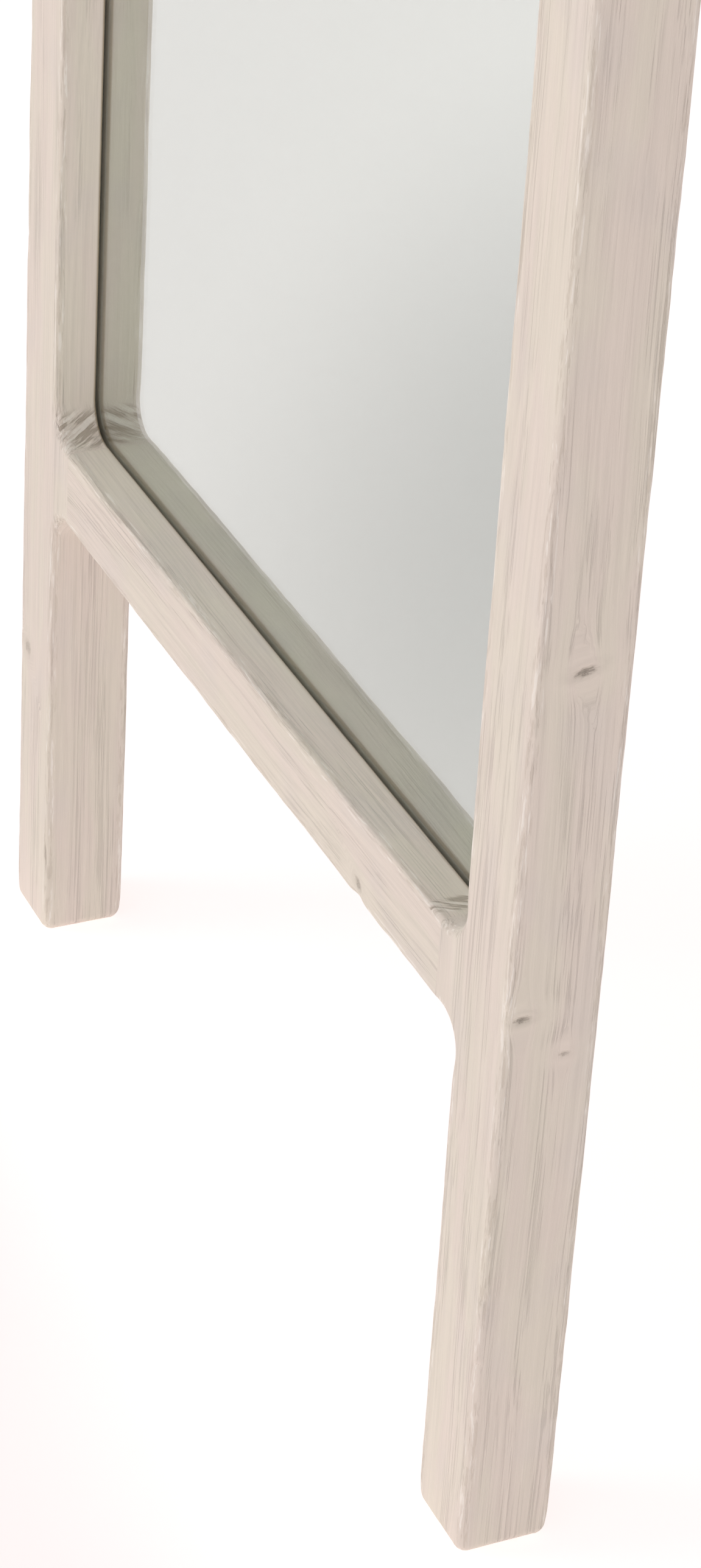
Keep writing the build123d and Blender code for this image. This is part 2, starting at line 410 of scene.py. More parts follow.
class Torn(NamedTuple):
    """Torn grain at an inner corner: which one, how strong, and the turn of its middle round the
    corner in degrees (over 90 is on the rail) with its reach."""
    side: int
    corner: str
    strength: float
    turn: float
    reach: float


KNOTS = {
    "left_post": (
        Knot("front", -0.3640, 0.2117, 0.0070, 0.0080, 35, 0.34, 0.0004),
        Knot("front", -0.3040, 0.3262, 0.0024, 0.0060, -20, 0.50, 0.0005),
        Knot("front", -0.3230, 0.0645, 0.0014, 0.0190, 3, 0.45, 0.0007),
        Knot("front", -0.3520, 1.1630, 0.0060, 0.0045, 12, 0.60, 0.0004),
        Knot("outer", 0.0060, 0.8300, 0.0070, 0.0042, -8, 0.75, 0.0005),
        Knot("outer", -0.0140, 1.4100, 0.0045, 0.0030, 10, 0.60, 0.0003),
        Knot("back", -0.3460, 0.6100, 0.0080, 0.0052, 6, 0.75, 0.0005),
    ),
    "right_post": (
        Knot("outer", -0.0038, 0.5950, 0.0080, 0.0034, 14, 0.62, 0.0008),
        Knot("outer", -0.0225, 0.3810, 0.0062, 0.0030, 2, 0.55, 0.0008),
        Knot("outer", 0.0055, 0.3525, 0.0042, 0.0024, 0, 0.30, 0.0003),
        Knot("outer", 0.0040, 1.2200, 0.0062, 0.0040, -10, 0.70, 0.0004),
        Knot("front", 0.3480, 1.3350, 0.0055, 0.0042, 8, 0.55, 0.0004),
        Knot("back", 0.3560, 0.9300, 0.0075, 0.0050, -6, 0.75, 0.0005),
    ),
    "bottom_rail": (
        Knot("rail_front", 0.3526, 0.1850, 0.0040, 0.0062, 30, 0.45, 0.0006),
        Knot("rail_back", 0.3720, -0.1200, 0.0060, 0.0050, 0, 0.70, 0.0004),
    ),
    "top_rail": (
        Knot("rail_front", 1.7700, -0.1150, 0.0060, 0.0048, 10, 0.60, 0.0004),
    ),
}

EDGE_STEPS = {
    "left_post": (EdgeStep(0.62, 0.0006, 0.02), EdgeStep(0.95, -0.0007, 0.03)),
    "right_post": (
        EdgeStep(0.144, -0.0034, 0.0025),
        EdgeStep(0.189, 0.0022, 0.004),
        EdgeStep(0.236, -0.0020, 0.008),
        EdgeStep(0.300, 0.0016, 0.010),
        EdgeStep(0.381, -0.0020, 0.004),
        EdgeStep(0.470, 0.0014, 0.012),
        EdgeStep(0.560, -0.0012, 0.006),
        EdgeStep(0.640, 0.0012, 0.006),
        EdgeStep(0.800, -0.0010, 0.010),
    ),
    "bottom_rail": (),
    "top_rail": (),
}

DENTS = {
    "left_post": (
        Dent(-OUTER, FRONT, 0.52, 0.003, 0.004, 0.0007),
        Dent(-OPENING_HALF, FRONT, 0.062, 0.0022, 0.016, 0.0010),
        Dent(-OPENING_HALF, FRONT, 0.90, 0.002, 0.005, 0.0006),
    ),
    "right_post": (
        Dent(OUTER, FRONT, 0.1445, 0.0030, 0.0022, 0.0011),
        Dent(OUTER, FRONT, 0.1890, 0.0032, 0.0030, 0.0012),
        Dent(OUTER, FRONT, 0.3840, 0.0034, 0.0040, 0.0010),
        Dent(OUTER, FRONT, 0.7050, 0.0025, 0.0060, 0.0006),
        Dent(OUTER, BACK, 1.05, 0.003, 0.004, 0.0008),
    ),
    "bottom_rail": (
        Dent(0.185, FRONT, 0.3435, 0.0075, 0.0035, 0.0014),
        Dent(-0.07, FRONT, 0.3960, 0.0060, 0.0020, 0.0005),
    ),
    "top_rail": (
        Dent(0.12, FRONT, 1.7465, 0.0060, 0.0020, 0.0006),
    ),
}

TORN = (
    Torn(-1, "low", 1.0, 52, 0.0125),
    Torn(1, "low", 0.9, 121, 0.0060),
    Torn(-1, "high", 0.45, 49, 0.0125),
    Torn(1, "high", 0.6, 49, 0.0125),
    Torn(-1, "under", 0.25, 49, 0.0125),
    Torn(1, "under", 0.3, 49, 0.0125),
)


def knot_frame(points, knot, side):
    """Each point's place relative to a knot: across, along and height over its face."""
    normal, across, along, plane = FACE_AXES[knot.face]
    if plane is None:
        plane = side * OUTER
    a = points[:, across] - knot.across
    b = points[:, along] - knot.along
    turn = math.radians(knot.tilt)
    a, b = a * math.cos(turn) + b * math.sin(turn), b * math.cos(turn) - a * math.sin(turn)
    return a, b, np.abs(points[:, normal] - plane)


# A knot's darkness fades over KNOT_FADE to nothing at KNOT_FADED, and its place is kept up to
# KNOT_FAR, all in its half sizes. FACE_FADE is the share of EDGE_ZONE over which it fades where
# it reaches round an edge.
KNOT_FAR = 20.0
KNOT_FADED = 5.5
KNOT_FADE = 2.5
FACE_FADE = 0.4


def knot_values(points, knots, side):
    """For each point: its place relative to the nearest knot in that knot's half sizes, and its
    darkness, which has faded to nothing before the next knot or the next face takes over."""
    values = np.tile([KNOT_FAR, KNOT_FAR, 0.0], (len(points), 1))
    nearest = np.full(len(points), KNOT_FAR)
    for knot in knots:
        a, b, off = knot_frame(points, knot, side)
        a, b = a / knot.wide, b / knot.tall
        distance = np.where(off < EDGE_ZONE, np.hypot(a, b), np.inf)
        closer = distance < nearest
        nearest = np.where(closer, distance, nearest)
        fade = np.clip((KNOT_FADED - distance) / KNOT_FADE, 0, 1)
        fade *= np.clip((1 - off / EDGE_ZONE) / FACE_FADE, 0, 1)
        found = np.stack([a, b, knot.dark * fade], axis=1)
        values = np.where(closer[:, None], found, values)
    return values


# How the grain flows round a knot, in its half sizes: how wide the pushed strip is, how far it
# reaches along the grain and how far across it
PUSHED_WIDE, PUSHED_TALL, PUSHED_ACROSS = 0.9, 3.2, 5.0


def knot_bend(points, knots, side):
    """How far the grain is pushed aside round the knots, as a shift of where it is looked up."""
    shift = np.zeros_like(points)
    for knot in knots:
        a, b, off = knot_frame(points, knot, side)
        reach = PUSHED_TALL * knot.tall + knot.wide
        pushed = (PUSHED_WIDE * knot.wide) ** 2 * np.exp(-((b / reach) ** 2))
        look = np.sign(a) * np.sqrt(np.maximum(a * a - pushed, 0))
        fade = np.exp(-((a / (PUSHED_ACROSS * knot.wide)) ** 2)) * (off < 2 * EDGE_ZONE)
        shift[:, FACE_AXES[knot.face][1]] += (look - a) * fade
    return shift


# Section of a knot, in its half sizes: a bowl with a raised rim round it
BOWL_WIDE = 0.75
RIM_HEIGHT, RIM_AT, RIM_WIDE = 0.35, 1.5, 0.5


def knot_relief(points, knots, side):
    """How far the surface is sunk at the knots."""
    depth = np.zeros(len(points))
    for knot in knots:
        a, b, off = knot_frame(points, knot, side)
        distance = np.hypot(a / knot.wide, b / knot.tall)
        bowl = np.exp(-((distance / BOWL_WIDE) ** 2))
        bowl -= RIM_HEIGHT * np.exp(-(((distance - RIM_AT) / RIM_WIDE) ** 2))
        depth += np.where(off < EDGE_ZONE, bowl * knot.sunk, 0)
    return depth


def dent_relief(points, dents):
    """How far the surface is sunk at small dents and chips."""
    depth = np.zeros(len(points))
    for dent in dents:
        aside = np.hypot(points[:, 0] - dent.x, points[:, 1] - dent.y) / dent.reach
        depth += dent.deep * np.exp(-aside ** 2 - ((points[:, 2] - dent.z) / dent.tall) ** 2)
    return depth


# The skin that torn grain can lie on: its thickness at the round corner, and how far it runs on
# along the rail and up the post
TORN_SKIN = 0.003
TORN_RAIL, TORN_POST = 0.04, 0.012


def torn_values(points):
    """Place along each round inner corner, place across it, and how torn the grain is there."""
    values = np.zeros_like(points)
    corners = {
        "low": (OPENING_BOTTOM + CORNER_RADIUS, -1),
        "high": (OPENING_TOP - CORNER_RADIUS, 1),
        "under": (UNDERSIDE - CORNER_RADIUS, 1),
    }
    quarter = CORNER_RADIUS * math.pi / 2
    for torn in TORN:
        centre_z, way = corners[torn.corner]
        x = points[:, 0] * torn.side - (OPENING_HALF - CORNER_RADIUS)
        z = (points[:, 2] - centre_z) * way
        on_rail = x < 0
        off = np.where(on_rail, z, np.hypot(x, z)) - CORNER_RADIUS
        on_corner = (np.abs(off) < TORN_SKIN) & (x > -TORN_RAIL) & (z > -TORN_POST)
        turn = np.arctan2(z, np.maximum(x, 1e-6))
        length = np.where(on_rail, quarter - x, CORNER_RADIUS * turn)
        along = length - CORNER_RADIUS * math.radians(torn.turn)
        mask = torn.strength * np.exp(-((along / torn.reach) ** 2)) * on_corner
        stronger = mask > values[:, 2]
        found = np.stack([along, points[:, 1] - FRONT, mask], axis=1)
        values = np.where(stronger[:, None], found, values)
    return values


# ---------------------------------------------------------------- posts and rails

# Where each member's log has its pith, in the two axes across the grain
PITH = {
    "left_post": (-0.455, 0.052),
    "right_post": (0.300, 0.085),
    "bottom_rail": (0.048, 0.415),
    "top_rail": (0.060, 1.730),
}
SEEDS = {"left_post": 11, "right_post": 29, "bottom_rail": 47, "top_rail": 71}
LOG_OFFSET = 0.37

# Slow and quick sway of the grain from straight: how far, and over what length
SWAY, SWAY_LENGTH = 0.0048, 0.42
FLUTTER, FLUTTER_LENGTH = 0.0007, 0.07


def grain_values(name, points, along_axis, bend):
    """Where each point lies in its log: two distances from the pith and one along the grain."""
    seed = SEEDS[name]
    cross = [i for i in range(3) if i != along_axis]
    along = points[:, along_axis]
    at = np.stack([along, np.zeros(len(points)), np.zeros(len(points))], axis=1)
    values = np.zeros_like(points)
    for k, axis in enumerate(cross):
        drift = SWAY * noise(at, (SWAY_LENGTH, 1, 1), seed + 5 + k)
        drift += FLUTTER * noise(at, (FLUTTER_LENGTH, 1, 1), seed + 8 + k)
        values[:, k] = points[:, axis] + bend[:, axis] - PITH[name][k] + drift
    values[:, 2] = along + seed * LOG_OFFSET
    return values


def finish_member(name, points, quads, along_axis):
    """Shapes, roughens and records one wooden member, and puts it in its CAD node's place."""
    side = -1 if name == "left_post" else 1
    seed = SEEDS[name]
    shape_outline(points)
    in_lip = points[:, 1] < LIP_BACK + 1e-6
    radii = edge_radii(points, EDGE_STEPS[name], seed)
    from_front, from_back = points[:, 1] - FRONT, BACK - points[:, 1]
    way = np.where(from_front < from_back, 1, -1)
    behind = np.where(in_lip, LIP_BACK - points[:, 1], 1.0)
    from_face = np.minimum(from_front, from_back)
    from_edge = ease_edges(points, radii, outline_depth, from_face, way)
    from_lip = ease_edges(points, np.full(len(points), LIP_ARRIS), opening_depth, behind, -1)
    wear = np.clip(1 - from_edge / WEAR_REACH, 0, 1)
    # Painted shade near the lip's back edge, in the crevice by the glass
    lip_shade = np.clip(1 - from_lip / LIP_SHADE_REACH, 0, 1)
    near_front = points[:, 1] < FRONT + EDGE_ZONE
    near_back = points[:, 1] > BACK - EDGE_ZONE
    outside = (outline_depth(points[:, 0], points[:, 2]) < EDGE_ZONE) | near_front | near_back
    swell_size = np.full(3, SWELL_ACROSS)
    swell_size[along_axis] = SWELL_ALONG
    ripple_size = np.full(3, RIPPLE_ACROSS)
    ripple_size[along_axis] = RIPPLE_ALONG
    sunk = SWELL * (0.5 + 0.5 * noise(points, swell_size, seed + 2))
    sunk += RIPPLE * (0.5 + 0.5 * noise(points, ripple_size, seed + 3))
    sunk *= np.where(near_back, BACK_UNEVENNESS, 1.0) * apart_from_joint(points)
    sunk += knot_relief(points, KNOTS[name], side) + dent_relief(points, DENTS[name])
    values = knot_values(points, KNOTS[name], side)
    bend = knot_bend(points, KNOTS[name], side)
    torn = torn_values(points)
    grain = grain_values(name, points, along_axis, bend)
    out = point_normals(points, quads)
    points -= out * (sunk * outside)[:, None]
    points[:, 2] = np.maximum(points[:, 2], 0)
    piece = mesh_piece(name + "_wood", points, quads)
    store(piece, "grain", grain)
    store(piece, "knot", values)
    store(piece, "torn", torn)
    store(piece, "wear", wear)
    store(piece, "lip_shade", lip_shade)
    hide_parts(name)
    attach(piece, "mirror")
    return piece


# Closer mesh lines: how far they reach from a place, and their step
KNOT_LINES = (0.008, 0.0013)
KNOT_LINES_ALONG = (0.010, 0.0015)
DENT_LINES = (0.005, 0.0012)
EDGE_STEP_LINES = (0.004, 0.0012)
RAIL_KNOT_LINES = (0.008, 0.0012)
RAIL_KNOT_LINES_ALONG = (0.014, 0.0012)

# How far the closer lines of a round corner run on past it
PAST_LOW_CORNER = 0.006
PAST_CORNER = 0.004


def post(side):
    """A post with its two haunches. side is -1 for the left one and 1 for the right one.
    u runs inward from the outer face, v runs back from the front and w runs up."""
    name = "left_post" if side < 0 else "right_post"
    knots = KNOTS[name]
    inner = OUTER - OPENING_HALF
    rebate = OUTER - REBATE_HALF
    joint = OUTER - JOINT
    lip = LIP_BACK - FRONT
    thick = BACK - FRONT
    u = graded((0, FINE), (EDGE_ZONE, ACROSS), (rebate, REBATE_STEP), (inner - EDGE_ZONE, FINE),
               (inner, CURVED), (joint - JOINT_GAP, 0))
    v = graded((0, FINE), (EDGE_ZONE, ACROSS), (lip - LIP_ARRIS, ARRIS_STEP), (lip, BEHIND_STEP),
               (thick - EDGE_ZONE, FINE), (thick, 0))
    w = graded((0, END_STEP), (FINE_ENDS, ALONG),
               (UNDERSIDE - CORNER_RADIUS - PAST_CORNER, CURVED), (UNDERSIDE, UNDERSIDE_STEP),
               (REBATE_BOTTOM, CURVED), (OPENING_BOTTOM, CURVED),
               (OPENING_BOTTOM + CORNER_RADIUS + PAST_LOW_CORNER, ALONG),
               (OPENING_TOP - CORNER_RADIUS - PAST_CORNER, CURVED), (OPENING_TOP, CURVED),
               (REBATE_TOP, REBATE_STEP), (TOP - FINE_ENDS, END_STEP), (TOP, 0))
    on_side = [k for k in knots if k.face == "outer"]
    on_post = [k for k in knots if k.face in ("front", "back") and abs(k.across) > OPENING_HALF]
    v = refined(v, [k.across - FRONT for k in on_side], *KNOT_LINES)
    u = refined(u, [OUTER - abs(k.across) for k in on_post], *KNOT_LINES)
    w = refined(w, [k.along for k in knots], *KNOT_LINES_ALONG)
    w = refined(w, [d.z for d in DENTS[name]], *DENT_LINES)
    w = refined(w, [s.height for s in EDGE_STEPS[name]], *EDGE_STEP_LINES)

    def filled(cu, cv, cw):
        haunch = ((cw > UNDERSIDE) & (cw < OPENING_BOTTOM)) | (cw > OPENING_TOP)
        in_rebate = (cu > rebate) & (cv > lip) & (cw > REBATE_BOTTOM) & (cw < REBATE_TOP)
        return ((cu < inner) | haunch) & ~in_rebate

    points, quads = grid_skin((u, v, w), filled)
    points[:, 0] = side * (OUTER - points[:, 0])
    points[:, 1] += FRONT
    if side > 0:
        quads = quads[:, ::-1]
    return finish_member(name, points, quads, 2)


def rail(name, low, high):
    """The rail between the haunches whose CAD box is given."""
    upper = high.z > TOP - LIP_WIDTH
    half = JOINT - JOINT_GAP
    rebate_z = REBATE_TOP if upper else REBATE_BOTTOM
    x = graded((-half, RAIL_ALONG), (half, 0))
    y = graded((FRONT, FINE), (FRONT + EDGE_ZONE, ACROSS), (LIP_BACK - LIP_ARRIS, RAIL_ARRIS_STEP),
               (LIP_BACK, RAIL_BEHIND_STEP), (BACK - EDGE_ZONE, FINE), (BACK, 0))
    z = graded((low.z, FINE), (low.z + EDGE_ZONE, ACROSS), (rebate_z, ACROSS),
               (high.z - EDGE_ZONE, FINE), (high.z, 0))
    x = refined(x, [k.along for k in KNOTS[name]], *RAIL_KNOT_LINES_ALONG)
    z = refined(z, [k.across for k in KNOTS[name]], *RAIL_KNOT_LINES)

    def filled(cx, cy, cz):
        return ~((cy > LIP_BACK) & (cz > REBATE_BOTTOM) & (cz < REBATE_TOP))

    points, quads = grid_skin((x, y, z), filled)
    return finish_member(name, points, quads, 0)


# ---------------------------------------------------------------- materials

class Shader:
    """Adds nodes to one material and wires them up."""

    def __init__(self, name, **surface):
        self.material = bpy.data.materials.new(name)
        self.material.use_nodes = True
        self.tree = self.material.node_tree
        self.tree.nodes.clear()
        self.out = self.tree.nodes.new("ShaderNodeOutputMaterial")
        self.surface = self.tree.nodes.new("ShaderNodeBsdfPrincipled")
        self.tree.links.new(self.surface.outputs[0], self.out.inputs["Surface"])
        for socket, value in surface.items():
            self.put(self.surface.inputs[socket.replace("_", " ")], value)

    def put(self, socket, value):
        """Links a socket, or sets it where the value is plain."""
        if isinstance(value, bpy.types.NodeSocket):
            self.tree.links.new(value, socket)
        elif isinstance(value, (tuple, list)) and len(value) == 3 and socket.type == "RGBA":
            socket.default_value = (*value, 1.0)
        else:
            socket.default_value = value

    def node(self, kind, inputs=(), **settings):
        made = self.tree.nodes.new(kind)
        for key, value in settings.items():
            setattr(made, key, value)
        for key, value in dict(inputs).items():
            self.put(made.inputs[key], value)
        return made

    def attribute(self, name, output="Vector"):
        return self.node("ShaderNodeAttribute", attribute_name=name).outputs[output]

    def place(self):
        """The point's place in the piece's own frame, which is the CAD frame."""
        return self.node("ShaderNodeTexCoord").outputs["Object"]

    def math(self, operation, a, b=0.0, c=0.0):
        return self.node("ShaderNodeMath", {0: a, 1: b, 2: c}, operation=operation).outputs[0]

    def times(self, product, *values):
        """All the values multiplied."""
        for value in values:
            product = self.math("MULTIPLY", product, value)
        return product

    def plus(self, base, value, share):
        """The base with a share of the value added."""
        return self.math("MULTIPLY_ADD", value, share, base)

    def centred(self, value):
        return self.math("SUBTRACT", value, 0.5)

    def scaled(self, vector, scale):
        inputs = {0: vector, 1: scale}
        return self.node("ShaderNodeVectorMath", inputs, operation="MULTIPLY").outputs[0]

    def length(self, x, y):
        """How far a place on a plane is from the plane's origin."""
        made = self.node("ShaderNodeVectorMath", {0: self.joined(x, y)}, operation="LENGTH")
        return made.outputs["Value"]

    def split(self, vector):
        return self.node("ShaderNodeSeparateXYZ", {0: vector}).outputs

    def joined(self, x=0.0, y=0.0, z=0.0):
        return self.node("ShaderNodeCombineXYZ", {0: x, 1: y, 2: z}).outputs[0]

    def noise(self, vector, scale=1.0, detail=2.0, roughness=0.5):
        inputs = {"Vector": vector, "Scale": scale, "Detail": detail, "Roughness": roughness}
        return self.node("ShaderNodeTexNoise", inputs).outputs["Fac"]

    def ramp(self, value, *stops):
        """A value between 0 and 1 from (position, value) stops."""
        made = self.node("ShaderNodeValToRGB", {0: value})
        elements = made.color_ramp.elements
        while len(elements) < len(stops):
            elements.new(0.5)
        for element, (position, level) in zip(elements, stops):
            element.position = position
            element.color = (level, level, level, 1)
        return made.outputs["Color"]

    def span(self, value, low, high, to_low=0.0, to_high=1.0):
        """The value's place between low and high, eased, as a number between to_low and to_high."""
        inputs = {"Value": value, 1: low, 2: high, 3: to_low, 4: to_high}
        return self.node("ShaderNodeMapRange", inputs, interpolation_type="SMOOTHSTEP").outputs[0]

    def mix(self, share, a, b, blend="MIX"):
        made = self.node("ShaderNodeMix", data_type="RGBA", blend_type=blend)
        for index, value in ((0, share), (6, a), (7, b)):
            self.put(made.inputs[index], value)
        return made.outputs[2]

    def bump(self, height, distance, strength=1.0):
        inputs = {"Height": height, "Distance": distance, "Strength": strength}
        self.put(self.surface.inputs["Normal"], self.node("ShaderNodeBump", inputs).outputs[0])


# Fineness of the softwood's patterns, per metre: across the grain and along it
RING_WOBBLE = (60.0, 7.0)
RINGS_SHOWN = (95.0, 6.5)
LINE_CLUSTERS = (75.0, 3.0)
DARK_LINES = (820.0, 9.0)
FIBRE = (1050.0, 20.0)
STREAKS = (300.0, 7.0)
PORES = (1500.0, 48.0)
PATCHES = (42.0, 9.0)
CLOUDS = (24.0, 16.0)
WEAR_DASHES = (430.0, 34.0)
TORN_STROKES = (330.0, 62.0)

# Growth rings: how many to a metre, how much their spacing varies and how far they wobble
RINGS = 250.0
RING_VARIETY, VARIETY_FINENESS = 5.2, 55.0
RING_WOBBLE_DEPTH = 0.0022

# Colours of the softwood's marks
WORN_WOOD = (0.43, 0.35, 0.27)
KNOT_HALO = (0.46, 0.41, 0.35)
KNOT_RING = (0.33, 0.27, 0.21)
KNOT_HEART = (0.34, 0.29, 0.235)
KNOT_SPLIT = (0.17, 0.135, 0.105)
TORN_STAIN = (0.42, 0.35, 0.28)
TORN_SHADOW = (0.30, 0.24, 0.18)
# Colour of the painted shade in the crevice at the lip's back edge
LIP_SHADE_COLOUR = (0.27, 0.175, 0.085)


def limed_softwood(name, light, pink, yellow, grey):
    """Softwood under a thin white wash: faint growth rings, fine fibres, knots and worn edges."""
    s = Shader(name, Specular_IOR_Level=0.28)
    grain = s.attribute("grain")
    g = s.split(grain)
    k = s.split(s.attribute("knot"))
    darkness = k[2]

    def pattern(fineness, detail=2.0, roughness=0.5):
        across, along = fineness
        return s.noise(s.scaled(grain, (across, across, along)), detail=detail, roughness=roughness)

    # Growth rings and dark lines, which fade round the knots
    radius = s.plus(s.length(g[0], g[1]), pattern(RING_WOBBLE), RING_WOBBLE_DEPTH)
    spacing = s.noise(s.joined(s.times(radius, VARIETY_FINENESS)), detail=1.0)
    phase = s.math("FRACT", s.plus(s.times(radius, RINGS), spacing, RING_VARIETY))
    late = s.ramp(phase, (0.0, 0.0), (0.42, 0.10), (0.80, 1.0), (0.90, 0.75), (1.0, 0.0))
    shown = s.span(pattern(RINGS_SHOWN), 0.36, 0.62, 0.12, 1.0)
    far = s.length(k[0], k[1])
    round_knot = s.times(s.span(far, 6.0, 2.0), s.span(darkness, 0.0, 0.2))
    clear = s.plus(1.0, round_knot, -0.9)
    late = s.times(late, shown, clear)
    cluster = s.span(pattern(LINE_CLUSTERS), 0.44, 0.60)
    lines = s.span(pattern(DARK_LINES, roughness=0.6), 0.50, 0.66)
    lines = s.times(lines, s.plus(0.08, cluster, 0.92), clear)

    # The wash: its tone drifts from pink to yellow and grey, and the grain shows through it
    fibre = pattern(FIBRE, detail=3.0, roughness=0.6)
    streak = pattern(STREAKS)
    pores = s.span(pattern(PORES, detail=1.0), 0.62, 0.72)
    tone = s.mix(s.span(pattern(PATCHES), 0.38, 0.62), pink, yellow)
    tone = s.mix(s.span(pattern(CLOUDS, detail=1.0), 0.52, 0.72, 0.0, 0.55), tone, grey)
    shade = s.plus(1.03, late, -0.050)
    shade = s.plus(shade, lines, -0.15)
    shade = s.plus(shade, s.centred(fibre), 0.16)
    shade = s.plus(shade, s.centred(streak), 0.11)
    shade = s.plus(shade, pores, 0.035)
    colour = s.mix(1.0, tone, s.joined(shade, shade, shade), "MULTIPLY")

    # Worn edges: the wash has gone in short dashes along the grain and lies thick beside them
    worn = s.span(s.attribute("wear", "Fac"), 0.10, 0.45)
    dashes = pattern(WEAR_DASHES, detail=3.0, roughness=0.65)
    bare = s.times(s.span(dashes, 0.55, 0.61), worn)
    thick = s.times(s.span(dashes, 0.43, 0.37), worn)
    colour = s.mix(s.times(bare, 0.24), colour, WORN_WOOD)
    colour = s.mix(s.times(thick, 0.60), colour, light)

    # Knots: a dark split heart, a darker ring and a grey halo
    rough_edge = s.noise(s.joined(k[0], k[1], g[2]), scale=2.3, detail=3.0)
    far = s.plus(far, s.centred(rough_edge), 1.1)
    heart = s.times(s.span(far, 0.85, 0.45), darkness)
    ring = s.times(s.ramp(far, (0.55, 0.0), (0.80, 1.0), (1.0, 0.0)), darkness)
    halo = s.times(s.span(far, 2.6, 0.7), darkness)
    split = s.noise(s.joined(s.times(k[0], 1.6), s.times(k[1], 4.0), 3.3), detail=3.0)
    split = s.span(split, 0.50, 0.60)
    colour = s.mix(s.times(halo, 0.30), colour, KNOT_HALO)
    colour = s.mix(s.times(ring, 0.30), colour, KNOT_RING)
    colour = s.mix(s.times(heart, 0.85), colour, s.mix(split, KNOT_HEART, KNOT_SPLIT))

    # Torn end grain at the round inner corners: short slanted strokes
    t = s.split(s.attribute("torn"))
    slanted = s.times(s.plus(t[0], t[1], 0.62), TORN_STROKES[0])
    strokes = s.noise(s.joined(slanted, s.times(t[1], TORN_STROKES[1]), g[2]), detail=2.0)
    on_corner = s.span(t[2], 0.10, 0.5)
    torn = s.times(s.span(strokes, 0.48, 0.60), on_corner)
    lifted = s.times(s.span(strokes, 0.44, 0.38), on_corner)
    colour = s.mix(s.times(s.span(t[2], 0.2, 0.9), 0.18), colour, TORN_STAIN)
    colour = s.mix(s.times(lifted, 0.45), colour, light)
    colour = s.mix(s.times(torn, 0.62), colour, TORN_SHADOW)

    # Painted shade where the lip's back edge turns in towards the glass, darkening the crevice by
    # the glass
    colour = s.mix(s.span(s.attribute("lip_shade", "Fac"), 0.15, 0.8, 0.0, 0.72), colour, LIP_SHADE_COLOUR)
    s.put(s.surface.inputs["Base Color"], colour)

    gloss = s.plus(0.66, late, -0.07)
    gloss = s.plus(gloss, s.centred(fibre), 0.22)
    s.put(s.surface.inputs["Roughness"], s.plus(gloss, bare, -0.08))

    height = s.plus(s.times(fibre, 0.45), late, 0.55)
    height = s.plus(height, streak, 0.5)
    height = s.plus(height, lines, -0.9)
    height = s.plus(height, heart, s.times(split, -2.2))
    height = s.plus(height, torn, -1.8)
    height = s.plus(height, bare, -0.5)
    s.bump(height, 0.00026, 0.9)
    return s.material


# How much the bare wood's patterns are drawn out along its grain
BARE_STRETCH = 0.018


def bare_wood(name, pale, dark, along, ring=260.0, contrast=1.0, pith=(0.11, 0.07)):
    """Unwashed wood whose grain runs along one axis of the CAD frame."""
    s = Shader(name, Specular_IOR_Level=0.3)
    stretch = tuple(BARE_STRETCH if axis == along else 1.0 for axis in range(3))
    turned = s.scaled(s.place(), stretch)

    def pattern(fineness, detail):
        return s.noise(s.scaled(turned, (fineness, fineness, fineness)), detail=detail)

    parts = s.split(turned)
    cross = [parts[axis] for axis in range(3) if axis != along]
    from_pith = s.length(*(s.math("SUBTRACT", part, at) for part, at in zip(cross, pith)))
    radius = s.plus(from_pith, pattern(26.0, 3.0), 0.022)
    phase = s.math("FRACT", s.times(radius, ring))
    late = s.ramp(phase, (0.0, 0.0), (0.5, 0.15), (0.85, 1.0), (1.0, 0.05))
    fibre = pattern(1300.0, 3.0)
    share = s.plus(s.times(fibre, 0.35), late, 0.42 * contrast)
    share = s.plus(share, pattern(90.0, 2.0), 0.30)
    s.put(s.surface.inputs["Base Color"], s.mix(s.span(share, 0.15, 1.0), pale, dark))
    s.put(s.surface.inputs["Roughness"], s.plus(0.50, fibre, 0.22))
    s.bump(s.math("ADD", fibre, late), 0.00012, 0.7)
    return s.material


def zinc_steel(name):
    """Bright zinc-plated steel with faint spangle, drawing lines and dull spots."""
    s = Shader(name, Metallic=1.0)
    place = s.place()
    spangle = s.noise(place, scale=900.0, detail=3.0)
    dull = s.noise(place, scale=180.0, detail=4.0, roughness=0.65)
    lines = s.noise(s.scaled(place, (2600.0, 2600.0, 140.0)), detail=1.0)
    base = s.mix(s.span(spangle, 0.35, 0.65), (0.56, 0.57, 0.585), (0.66, 0.67, 0.675))
    base = s.mix(s.span(dull, 0.56, 0.74, 0.0, 0.6), base, (0.40, 0.395, 0.37))
    s.put(s.surface.inputs["Base Color"], base)
    s.put(s.surface.inputs["Roughness"], s.plus(0.16, dull, 0.30))
    s.bump(s.math("ADD", lines, spangle), 0.00002, 0.6)
    return s.material


def soft_stuff(name, dark, light, scale, rough, bump):
    """Felt, foam or rubber: a fine mottled nap."""
    s = Shader(name, Specular_IOR_Level=0.25)
    place = s.place()
    nap = s.noise(place, scale=scale, detail=4.0, roughness=0.7)
    blotch = s.noise(place, scale=scale / 9.0, detail=2.0)
    share = s.plus(s.times(nap, 0.6), blotch, 0.5)
    s.put(s.surface.inputs["Base Color"], s.mix(s.span(share, 0.3, 0.8), dark, light))
    s.put(s.surface.inputs["Roughness"], s.plus(rough, nap, 0.15))
    s.bump(nap, bump, 0.8)
    return s.material


def mirror_silver(name):
    """The silvered back of the glass, with the faintest unevenness in its gloss."""
    s = Shader(name, Metallic=1.0)
    cloud = s.noise(s.place(), scale=7.0, detail=2.0)
    tint = s.mix(cloud, (0.845, 0.868, 0.850), (0.855, 0.875, 0.860))
    s.put(s.surface.inputs["Base Color"], tint)
    s.put(s.surface.inputs["Roughness"], s.plus(0.008, cloud, 0.012))
    return s.material


